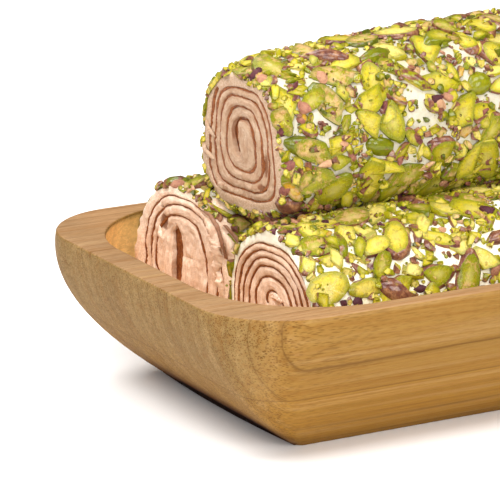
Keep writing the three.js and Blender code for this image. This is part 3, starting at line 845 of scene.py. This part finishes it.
def cutKernel(rng, size, cuts, fineness, waviness=0.06, taper=0.22, blunt=True):
    # an almond-shaped kernel trimmed by flat cuts, as points, triangles and which faces are cut
    body = bmesh.new()
    bmesh.ops.create_icosphere(body, subdivisions=fineness, radius=1)
    ball = np.array([vertex.co[:] for vertex in body.verts])
    bumps = 1 + waviness * lumps(ball, 0.7, int(rng.integers(1e6)))
    narrow = 1 - taper * ball[:, 0] - 0.12 * ball[:, 0] ** 2
    shaped = ball * bumps[:, None] * size
    shaped[:, 1:] *= narrow[:, None]
    shaped[:, 1] += 0.1 * size[1] * ball[:, 0] ** 2
    for vertex, point in zip(body.verts, shaped):
        vertex.co = point
    flesh = body.faces.layers.int.new("flesh")
    for normal, reach in cuts:
        normal = Vector(normal).normalized()
        everything = body.verts[:] + body.edges[:] + body.faces[:]
        sliced = bmesh.ops.bisect_plane(body, geom=everything, plane_co=normal * reach, plane_no=normal,
                                        clear_outer=True)
        rim = [item for item in sliced["geom_cut"] if isinstance(item, bmesh.types.BMEdge)]
        if len(rim) > 2:
            for face in bmesh.ops.holes_fill(body, edges=rim, sides=0)["faces"]:
                face[flesh] = 1
    sharp = [edge for edge in body.edges if len(edge.link_faces) == 2
             and (edge.link_faces[0][flesh] or edge.link_faces[1][flesh]) and edge.calc_face_angle() > 0.5]
    if sharp and blunt:
        bmesh.ops.bevel(body, geom=sharp, offset=0.05 * size[1] + 0.04, segments=1, affect="EDGES",
                        clamp_overlap=True)
    centres = []
    wide = [face for face in body.faces if face[flesh] and len(face.verts) > 4]
    if wide:
        centres = bmesh.ops.poke(body, faces=wide)["verts"]
    bmesh.ops.triangulate(body, faces=body.faces[:])
    bmesh.ops.recalc_face_normals(body, faces=body.faces[:])
    body.verts.index_update()
    middle = np.zeros(len(body.verts))
    middle[[vertex.index for vertex in centres]] = 1
    points = np.array([vertex.co[:] for vertex in body.verts])
    triangles = np.array([[vertex.index for vertex in face.verts] for face in body.faces])
    firsts = (triangles.argmin(1)[:, None] + np.arange(3)) % 3
    triangles = np.take_along_axis(triangles, firsts, 1)
    order = np.lexsort(triangles.T[::-1])   # the mesh tools leave them in no fixed order
    kernel = {
        "points": points - (points.min(0) + points.max(0)) / 2, "triangles": triangles[order],
        "flesh": np.array([face[flesh] for face in body.faces])[order], "middle": middle,
    }
    body.free()
    return kernel


def tilted(rng, normal, amount):
    return np.array(normal) + rng.normal(0, amount, 3)


def breaks(rng, size, count, near=0.25, beyond=0.85):
    # upright cuts that break a kernel off at its sides
    cuts = []
    for _ in range(count):
        way = rng.uniform(0, 2 * np.pi)
        normal = np.array([math.cos(way), math.sin(way), rng.normal(0, 0.25)])
        reach = np.linalg.norm(size * normal) * rng.uniform(near, beyond)
        cuts.append((normal, float(reach)))
    return cuts


def within(rng, ranges):
    return np.array([rng.uniform(low, high) for low, high in ranges])


def sliceShape(rng, kind):
    size = within(rng, kind["size"])
    height, thick = within(rng, [(-0.4, 1.2), kind["thick"]])
    cuts = [(tilted(rng, (0, 0, 1), 0.08), height + thick / 2),
            (tilted(rng, (0, 0, -1), 0.06), thick / 2 - height)]
    count = rng.choice([0, 1, 2, 3], p=kind["broken"])
    return cutKernel(rng, size, cuts + breaks(rng, size, count), 2)


def halfShape(rng, kind):
    size = within(rng, kind["size"])
    side = rng.choice([-1, 1], p=[0.6, 0.4])
    cuts = [(tilted(rng, (0, 0, side), 0.06), size[2] * rng.uniform(0, 0.3))]
    count = rng.choice([0, 1, 2], p=kind["broken"])
    return cutKernel(rng, size, cuts + breaks(rng, size, count), 2)


def chunkShape(rng, kind):
    size = within(rng, kind["size"])
    cuts = [(tilted(rng, (0, 0, side), 0.2), size[2] * rng.uniform(0.15, 0.5)) for side in (1, -1)]
    cuts += breaks(rng, size, rng.integers(3, 6), 0.25, 0.7)
    return cutKernel(rng, size, cuts, 1 + rng.integers(2), 0.1, blunt=False)


def skinShape(rng, kind):
    # a thin curled flake of the seed's skin, with green still on some
    size = within(rng, kind["size"])
    thick, drop = within(rng, [kind["thick"], (0.7, 1.2)])
    cuts = [(tilted(rng, (0, 0, -1), 0.1), drop - size[2])] + breaks(rng, size * 0.8, 2, 0.3, 0.7)
    kernel = cutKernel(rng, size, cuts, 2, 0.15)
    points = kernel["points"]
    under = np.unique(kernel["triangles"][kernel["flesh"] == 1])
    under = under[points[under][:, 2] < points[:, 2].min() + 0.25]
    spanning = 1 - np.clip(np.linalg.norm(points[:, :2] / size[:2], axis=1), 0, 1) ** 2
    points[under, 2] += (np.ptp(points[:, 2]) - thick).clip(0) * spanning[under].clip(0) * 0.9
    kernel["flesh"] = kernel["flesh"] * 0
    return kernel


def bitShape(rng, kind):
    size = rng.uniform(*kind["size"]) * np.array([1.4, 1, 0.75]) * rng.uniform(0.8, 1.25, 3)
    cuts = [(rng.normal(0, 1, 3), float(size.min()) * rng.uniform(0.35, 0.8)) for _ in range(3)]
    return cutKernel(rng, size, cuts, 1, 0.15, blunt=False)


def crumbShape(rng, kind):
    size = rng.uniform(*kind["size"]) * rng.uniform(0.7, 1.3, 3)
    return cutKernel(rng, size, [(rng.normal(0, 1, 3), float(size.min()) * 0.4)], 1, 0.2, blunt=False)


kinds = [
    # Millimetres. size is half the length, width and height before the cuts, or one range for all three,
    # broken how likely 0, 1, 2 or 3 broken sides are, count for one roll, contact the share of a piece's
    # underside that lies clear before it is pressed in, sunk how far that is, lean how far it may tip,
    # chances how many places it may choose from and highest how far it may stand out. Tones run from 0,
    # pale, to ripest, a lower paleness makes for riper ones, and husked is how much brown skin may be left
    {"name": "slices", "shape": sliceShape, "models": 40, "count": 215, "paleness": 0.7, "ripest": 0.88,
     "husked": 1, "size": [(5.6, 9.4), (2.9, 4.9), (2.8, 3.6)], "thick": (1, 1.9),
     "broken": [0.12, 0.33, 0.33, 0.22],
     "sunk": 0.75, "contact": 0.75, "lean": 0.35, "chances": 6, "highest": 3.1},
    {"name": "halves", "shape": halfShape, "models": 22, "count": 52, "paleness": 0.6, "ripest": 0.85,
     "husked": 1, "size": [(4.8, 7.6), (2.7, 3.9), (2.4, 3.2)], "broken": [0.2, 0.42, 0.38],
     "sunk": 1.4, "contact": 0.7, "lean": 0.35, "chances": 7, "highest": 3.3},
    {"name": "chunks", "shape": chunkShape, "models": 60, "count": 650, "paleness": 0.85, "ripest": 1,
     "husked": 0.95, "size": [(2.4, 5.6), (1.3, 2.8), (1, 1.7)],
     "sunk": 0.45, "contact": 0.65, "lean": 0.6, "chances": 7, "highest": 3.1},
    {"name": "skins", "shape": skinShape, "models": 22, "count": 230, "paleness": 1, "ripest": 1,
     "husked": 1, "size": [(1.8, 4.2), (1, 2.2), (1.6, 2.6)], "thick": (0.25, 0.6),
     "sunk": 0.15, "contact": 0.65, "lean": 0.6, "chances": 5, "highest": 3.2},
    {"name": "bits", "shape": bitShape, "models": 40, "count": 1300, "paleness": 0.8, "ripest": 1,
     "husked": 0.9, "size": (0.7, 1.7),
     "sunk": 0.4, "contact": 0.55, "lean": 0.8, "chances": 6, "highest": 3.2},
    {"name": "crumbs", "shape": crumbShape, "models": 16, "count": 1000, "paleness": 1, "ripest": 1,
     "husked": 0.4, "size": (0.25, 0.6),
     "sunk": 0.1, "contact": 0.5, "lean": 0.8, "chances": 4, "highest": 3.2},
]
bed = {
    "cell": 0.55,        # millimetres between the places where a piece can land
    "modelCell": 0.8,    # of that, in a model's own map
    "overhang": 1.5,     # how far a piece may reach past a cut
    "ceiling": 111.2,    # highest point of any piece
    "rimShare": 0.09,    # share of the tries that are made beside the cuts
    "cover": 0.9,        # millimetres that must be clear above a place
}


def blocked(plan, points):
    # which points lie within another roll or outside the dish's hollow
    inside = np.zeros(len(points), bool)
    for other in rollPlans:
        if other is plan:
            continue
        x, y = alongAndAcross(other, points)
        halfWidth, halfHeight, squareness, _, _, sag, _ = other["coat"]
        swell = np.sin(np.pi * np.clip(x / other["length"], 0, 1))
        shrink = 1 - other["narrowing"] * (1 - swell)
        up = (points[:, 2] - other["start"][2] - other["rise"] * swell) / (halfHeight * shrink)
        side = y / (halfWidth * shrink * (1 - sag * up))
        deep = np.abs(up) ** squareness + np.abs(side) ** squareness < 1
        inside |= (x > -1) & (x < other["length"] + 1) & deep
    shape = dishShape
    rise = (points[:, 2] - shape["floorHeight"]) / (shape["height"] - shape["floorHeight"])
    flare = 1 - (1 - rise.clip(0, 1)) ** 2
    halfWidth = (shape["wellWidth"] * (1 - flare) + (shape["rimWidth"] - 2 * shape["sideWall"]) * flare) / 2
    halfLength = (shape["wellLength"] * (1 - flare) + (shape["rimLength"] - 2 * shape["endWall"]) * flare) / 2
    clear = (np.abs(points[:, 1]) < halfWidth - 0.2) & (np.abs(points[:, 0]) < halfLength - 0.2)
    return inside | ((rise < 1) & ~clear) | (rise < 0.005)


def makeBed(plan):
    # the coat as a grid of places, each with a height that grows as pieces land on it
    turn = np.linspace(0, 2 * np.pi, 1500)
    ring = coatSurface(plan, np.full(len(turn), plan["length"] / 2), turn)
    around = np.concatenate([[0], np.cumsum(np.linalg.norm(np.diff(ring, axis=0), axis=1))])
    columns = int(around[-1] / bed["cell"])
    angles = np.interp(np.arange(columns) * around[-1] / columns, around, turn)
    xs = np.arange(0.3, plan["length"] - 0.3, bed["cell"])
    x, angle = (grid.reshape(-1) for grid in np.meshgrid(xs, angles, indexing="ij"))
    surface = coatSurface(plan, x, angle)
    axes = rollAxes(plan)
    outwards = outwardsAt(plan, x, angle) @ axes.T
    along = unit(axes[:, 0] - outwards * (outwards @ axes[:, 0])[:, None])
    points = toObject(plan, surface)
    bare = np.zeros(len(x), bool)
    for reach, first, last in plan["bare"]:
        bare |= (x < reach) & (np.mod(angle - first, 2 * np.pi) < last - first)
    free = ~(bare | blocked(plan, points + outwards * bed["cover"]))
    fields = {"points": points, "outwards": outwards, "along": along, "around": np.cross(outwards, along),
              "height": creamLumps(plan, surface), "free": free}
    return {key: field.reshape(len(xs), columns, *field.shape[1:]) for key, field in fields.items()}


def mapModel(rng, model):
    # the model's lowest and highest points on a small grid
    corners = model["points"][model["triangles"]]
    areas = np.linalg.norm(np.cross(corners[:, 1] - corners[:, 0], corners[:, 2] - corners[:, 0]), axis=1)
    cell = bed["cell"] * bed["modelCell"]
    picks = rng.choice(len(areas), int(areas.sum() * 12) + 60, p=areas / areas.sum())
    first, second = np.sort(rng.random((2, len(picks))), axis=0)
    shares = np.stack([first, second - first, 1 - second], 1)
    samples = np.concatenate([np.einsum("ns,nsk->nk", shares, corners[picks]), model["points"]])
    low = samples[:, :2].min(0)
    at = tuple(((samples[:, :2] - low) / cell).astype(int).T)
    size = (max(at[0]) + 1, max(at[1]) + 1)
    bottom, top = np.full(size, np.inf), np.full(size, -np.inf)
    np.minimum.at(bottom, at, samples[:, 2])
    np.maximum.at(top, at, samples[:, 2])
    reach = float(np.linalg.norm(samples[:, :2], axis=1).max())
    return {**model, "low": low, "cell": cell, "bottom": bottom, "top": top, "reach": reach}


def choosePlace(place, model, kind, rng):
    # the flattest of some chance places
    rows, columns = place["height"].shape
    best = None
    for _ in range(kind["chances"]):
        row, column = rng.integers(rows), rng.integers(columns)
        if rng.random() < bed["rimShare"]:
            inwards = int((model["reach"] * rng.uniform(0.35, 1.1)) / bed["cell"])
            row = int(rng.choice([inwards, rows - 1 - inwards]))
        if not place["free"][row, column]:
            continue
        spread = max(1, int(model["reach"] * 0.5 / bed["cell"]))
        around = place["height"][np.clip([row, row - spread, row + spread, row, row], 0, rows - 1),
                                 np.mod([column, column, column, column - spread, column + spread], columns)]
        score = around.mean() + around.max() * 0.5
        if best is None or score < best[0]:
            best = (score, row, column)
    return best[1:] if best else None


def settle(plan, place, model, kind, rng):
    # lays a model on the bed and returns its points, or nothing where it finds no room
    chosen = choosePlace(place, model, kind, rng)
    if chosen is None:
        return None
    row, column = chosen
    rows, columns = place["height"].shape
    wide = int(model["reach"] / bed["cell"]) + 1
    near = np.ix_(np.arange(max(0, row - wide), min(rows, row + wide + 1)),
                  np.arange(column - wide, column + wide + 1) % columns)
    origin, outwards = place["points"][row, column], place["outwards"][row, column]
    spin = rng.uniform(0, 2 * math.pi)
    first = place["along"][row, column] * math.cos(spin) + place["around"][row, column] * math.sin(spin)
    second = np.cross(outwards, first)
    away = place["points"][near] - origin
    facing = (place["outwards"][near] @ outwards).clip(0.3)
    u, v, rise = away @ first, away @ second, away @ outwards
    cells = np.stack([(u - model["low"][0]) / model["cell"], (v - model["low"][1]) / model["cell"]])
    cells = np.floor(cells).astype(int)
    size = model["bottom"].shape
    under = (cells[0] >= 0) & (cells[0] < size[0]) & (cells[1] >= 0) & (cells[1] < size[1])
    cells = cells.clip(0, np.array(size).reshape(2, 1, 1) - 1)
    bottom, top = model["bottom"][cells[0], cells[1]], model["top"][cells[0], cells[1]]
    under &= np.isfinite(bottom) & (facing > 0.35)
    if not under.any():
        return None
    ground = (rise + place["height"][near] * facing)[under]
    u, v, rise, below = u[under], v[under], rise[under], bottom[under]
    slopes = np.zeros(2)
    if len(u) > 5:
        sides = np.stack([u, v, np.ones(len(u))], 1)
        slopes = np.linalg.lstsq(sides, ground - below * 0.5, rcond=None)[0][:2]
    slopes = (slopes + rng.normal(0, 0.05, 2)).clip(-kind["lean"], kind["lean"])
    plane = slopes[0] * u + slopes[1] * v
    lift = np.quantile(ground - plane - below, kind["contact"]) - kind["sunk"]
    landed = plane + lift + top[under] - rise
    if np.quantile(landed, 0.9) > kind["highest"]:
        return None
    upright = outwards - first * slopes[0] - second * slopes[1]
    upright /= np.linalg.norm(upright)
    level = first - upright * (first @ upright)
    level /= np.linalg.norm(level)
    turn = np.stack([level, np.cross(upright, level), upright], 1)
    points = model["points"] @ turn.T + (origin + outwards * lift)
    if points[:, 2].max() > bed["ceiling"] or blocked(plan, points[::3]).any():
        return None
    lengthwise, _ = alongAndAcross(plan, points)
    slant = math.tan(math.radians(plan["slant"])) * (points[:, 1] - plan["start"][1])
    if (lengthwise - slant).min() < -bed["overhang"] or lengthwise.max() > plan["length"] + bed["overhang"]:
        return None
    height = place["height"][near]
    height[under] = np.maximum(height[under], landed / facing[under])
    place["height"][near] = height
    return points


def buildPistachios(materials):
    rng = np.random.default_rng(5)
    beds = {plan["name"]: makeBed(plan) for plan in rollPlans}
    for kind in kinds:
        models = [mapModel(rng, kind["shape"](rng, kind)) for _ in range(kind["models"])]
        points, triangles = [], []
        values = {"tone": [], "husk": [], "middle": [], "flesh": []}
        start = 0
        for plan in rollPlans:
            laid = 0
            for _ in range(kind["count"] * 3):
                if laid == kind["count"]:
                    break
                model = models[rng.integers(len(models))]
                landed = settle(plan, beds[plan["name"]], model, kind, rng)
                if landed is None:
                    continue
                laid += 1
                points.append(landed)
                triangles.append(model["triangles"] + start)
                # a roll's paleness over 1 makes its nuts paler; on the front roll that is painted light
                tone = kind["ripest"] * rng.random() ** (plan["paleness"] * kind["paleness"])
                values["tone"].append(np.full(len(landed), tone))
                values["husk"].append(np.full(len(landed), rng.random() * kind["husked"]))
                values["middle"].append(model["middle"])
                values["flesh"].append(model["flesh"])
                start += len(landed)
        piece = makePiece("pistachio_" + kind["name"], np.concatenate(points), np.concatenate(triangles),
                          materials["skin" if kind["name"] == "skins" else "kernel"],
                          values={key: np.concatenate(numbers) for key, numbers in values.items()})
        piece.data.set_sharp_from_angle(angle=0.6)
        print("pistachio", kind["name"], len(points), "pieces", len(piece.data.polygons), "triangles")


def kernelMaterial():
    stops = [
        (0.0, paint(266, 242, 132)), (0.14, paint(258, 232, 90)), (0.32, paint(240, 218, 48)),
        (0.48, paint(220, 202, 28)), (0.62, paint(194, 184, 14)), (0.75, paint(164, 162, 10)),
        (0.82, paint(228, 184, 104)), (0.92, paint(238, 192, 138)), (1.0, paint(232, 168, 40)),
    ]
    greens = [
        (0.0, paint(198, 184, 18)), (0.25, paint(172, 168, 6)), (0.5, paint(146, 150, 4)),
        (0.75, paint(120, 126, 6)), (1.0, paint(84, 90, 10)),
    ]
    husks = [(0.3, paint(106, 56, 52)), (0.5, paint(150, 92, 68)), (0.75, paint(218, 158, 108))]
    kernel = Recipe("pistachio_kernel", {"Subsurface Weight": 0.06, "Subsurface Scale": 1 * mm,
                                         "Specular IOR Level": 0.1, "Coat Roughness": 0.12})
    place = kernel.place()
    tone = kernel.stored("tone")
    flesh = kernel.step(kernel.stored("flesh"), 0.4, 0.6)
    mottle = kernel.noise(place, 0.5, 3, 0.6)
    grain = kernel.noise(place, 2.4, 4, 0.7)
    veins = kernel.noise(kernel.warped(place, mottle, 3), 0.9, 3, 0.7)
    inside = kernel.ramp(tone + (mottle - 0.5) * 0.75, stops)
    inside = kernel.mix((1 - kernel.step(veins, 0.34, 0.48)) * 0.6, inside, paint(150, 108, 34))
    middle = kernel.stored("middle") + (mottle - 0.5) * 0.4
    inside = kernel.mix(kernel.step(middle, 0.35, 0.95) * 0.5, inside, paint(250, 232, 136))
    inside = kernel.mix((1 - kernel.step(middle, 0.02, 0.4)) * 0.65, inside, paint(122, 134, 8))
    inside = kernel.mix(kernel.step(grain, 0.5, 0.75) * 0.5, inside, paint(244, 218, 150))
    outside = kernel.ramp(tone + (mottle - 0.5) * 0.8, greens)
    patches = kernel.noise(place, 0.42, 3, 0.6) + kernel.stored("husk") * 0.5
    husk = kernel.ramp(mottle + (grain - 0.5) * 0.5, husks)
    outside = kernel.mix(kernel.step(patches, 0.66, 0.76), outside, husk)
    outside = kernel.mix(kernel.step(grain, 0.45, 0.75) * 0.3, outside, paint(92, 78, 26))
    colour = kernel.mix(flesh, outside, inside)
    kernel.relief(grain * 0.6 + veins + mottle * 1.5, 0.5 * mm, 0.65)
    return kernel.finish(**{"Base Color": colour, "Roughness": 0.34 + flesh * 0.16,
                            "Coat Weight": (1 - flesh) * 0.4 + 0.22})


def skinMaterial():
    stops = [
        (0.0, paint(86, 40, 50)), (0.2, paint(122, 60, 66)), (0.45, paint(178, 112, 92)),
        (0.7, paint(226, 166, 126)), (0.88, paint(244, 198, 150)), (1.0, paint(196, 150, 50)),
    ]
    skin = Recipe("pistachio_skin", {"Roughness": 0.5, "Specular IOR Level": 0.25})
    place = skin.place()
    mottle = skin.noise(place, 1.2, 3, 0.6)
    fine = skin.noise(place, 4, 2, 0.6)
    colour = skin.ramp(skin.stored("tone") + (mottle - 0.5) * 0.5 + (fine - 0.5) * 0.3, stops)
    skin.relief(mottle + fine, 0.3 * mm, 0.6)
    return skin.finish(**{"Base Color": colour})


# ---- camera, floor and light

cameraPlan = {
    "azimuth": -29.275, "elevation": 15.572, "pixelsPerMm": 3.5, "focalPixels": 3809.78, "imageSize": 500,
    "aimRight": 13.388, "aimUp": -56.105, "sensor": 36,
}


def buildCamera():
    plan = cameraPlan
    azimuth, elevation = math.radians(plan["azimuth"]), math.radians(plan["elevation"])
    back = Vector((math.sin(azimuth) * math.cos(elevation), -math.cos(azimuth) * math.cos(elevation),
                   math.sin(elevation)))
    right = Vector((math.cos(azimuth), math.sin(azimuth), 0))
    up = back.cross(right)
    nearCorner = Vector((-dishShape["baseLength"] / 2, -dishShape["baseWidth"] / 2, 0))
    away = plan["focalPixels"] / plan["pixelsPerMm"]
    eye = nearCorner - right * plan["aimRight"] - up * plan["aimUp"] + back * away
    lens = bpy.data.cameras.new("camera")
    lens.sensor_width = plan["sensor"]
    lens.lens = plan["focalPixels"] / plan["imageSize"] * plan["sensor"]
    lens.clip_start, lens.clip_end = 0.05, 20
    camera = bpy.data.objects.new("camera", lens)
    axes = Matrix((right, up, back)).transposed().to_4x4()
    camera.matrix_world = Matrix.Translation(eye * mm) @ axes
    scene.collection.objects.link(camera)
    scene.camera = camera


def buildFloor():
    looks = {"Roughness": 0.9, "Specular IOR Level": 0.1, "Base Color": (0.95, 0.945, 0.94, 1)}
    mesh = bpy.data.meshes.new("floor")
    reach = 6   # metres
    corners = [(-reach, -reach, 0), (reach, -reach, 0), (reach, reach, 0), (-reach, reach, 0)]
    mesh.from_pydata(corners, [], [(0, 1, 2, 3)])
    mesh.materials.append(Recipe("floor", looks).material)
    floor = bpy.data.objects.new("floor", mesh)
    floor.location.z = -0.0001   # just clear of the foot
    scene.collection.objects.link(floor)


studio = {"distance": 1.4, "lampWidth": 0.6, "aimHeight": 0.04,   # metres
          "sky": (0.97, 0.985, 1, 1), "skyStrength": 0.07}
lights = [
    # degrees round from +x and up, and watts
    {"name": "backLeft", "azimuth": 135, "elevation": 52, "power": 13},
    {"name": "back", "azimuth": 90, "elevation": 50, "power": 4.6},
    {"name": "frontLeft", "azimuth": 225, "elevation": 25, "power": 8},
    {"name": "frontRight", "azimuth": 325, "elevation": 55, "power": 6},
    {"name": "frontLow", "azimuth": 270, "elevation": 25, "power": 9.3},
    {"name": "frontHigh", "azimuth": 255, "elevation": 68, "power": 10},
    {"name": "left", "azimuth": 200, "elevation": 52, "power": 6},
]


def buildLight():
    scene.view_settings.view_transform = "Standard"
    world = bpy.data.worlds.new("studio")
    scene.world = world
    world.use_nodes = True
    sky = world.node_tree.nodes["Background"]
    sky.inputs["Color"].default_value = studio["sky"]
    sky.inputs["Strength"].default_value = studio["skyStrength"]
    for plan in lights:
        lamp = bpy.data.lights.new(plan["name"], "AREA")
        lamp.energy, lamp.size = plan["power"], studio["lampWidth"]
        light = bpy.data.objects.new(plan["name"], lamp)
        azimuth, elevation = math.radians(plan["azimuth"]), math.radians(plan["elevation"])
        flat = math.cos(elevation)
        way = Vector((math.cos(azimuth) * flat, math.sin(azimuth) * flat, math.sin(elevation)))
        light.location = way * studio["distance"]
        aim = Vector((0, 0, studio["aimHeight"])) - light.location
        light.rotation_euler = aim.to_track_quat("-Z", "Y").to_euler()
        scene.collection.objects.link(light)


buildCamera()
buildFloor()
buildLight()
print("camera, floor and light are in place")

buildDish(bambooMaterial())
print("the dish is built")

chocolateFinish = chocolateMaterial()
for plan in rollPlans:
    nougatFinish = nougatMaterial(plan)
    buildNougat(plan, nougatFinish)
    buildChocolate(plan, chocolateFinish)
    buildCoat(plan, creamMaterial(plan))
    buildScraps(plan, nougatFinish)
    print("the", plan["name"], "roll is built")

buildPistachios({"kernel": kernelMaterial(), "skin": skinMaterial()})
print("the pistachios are laid")
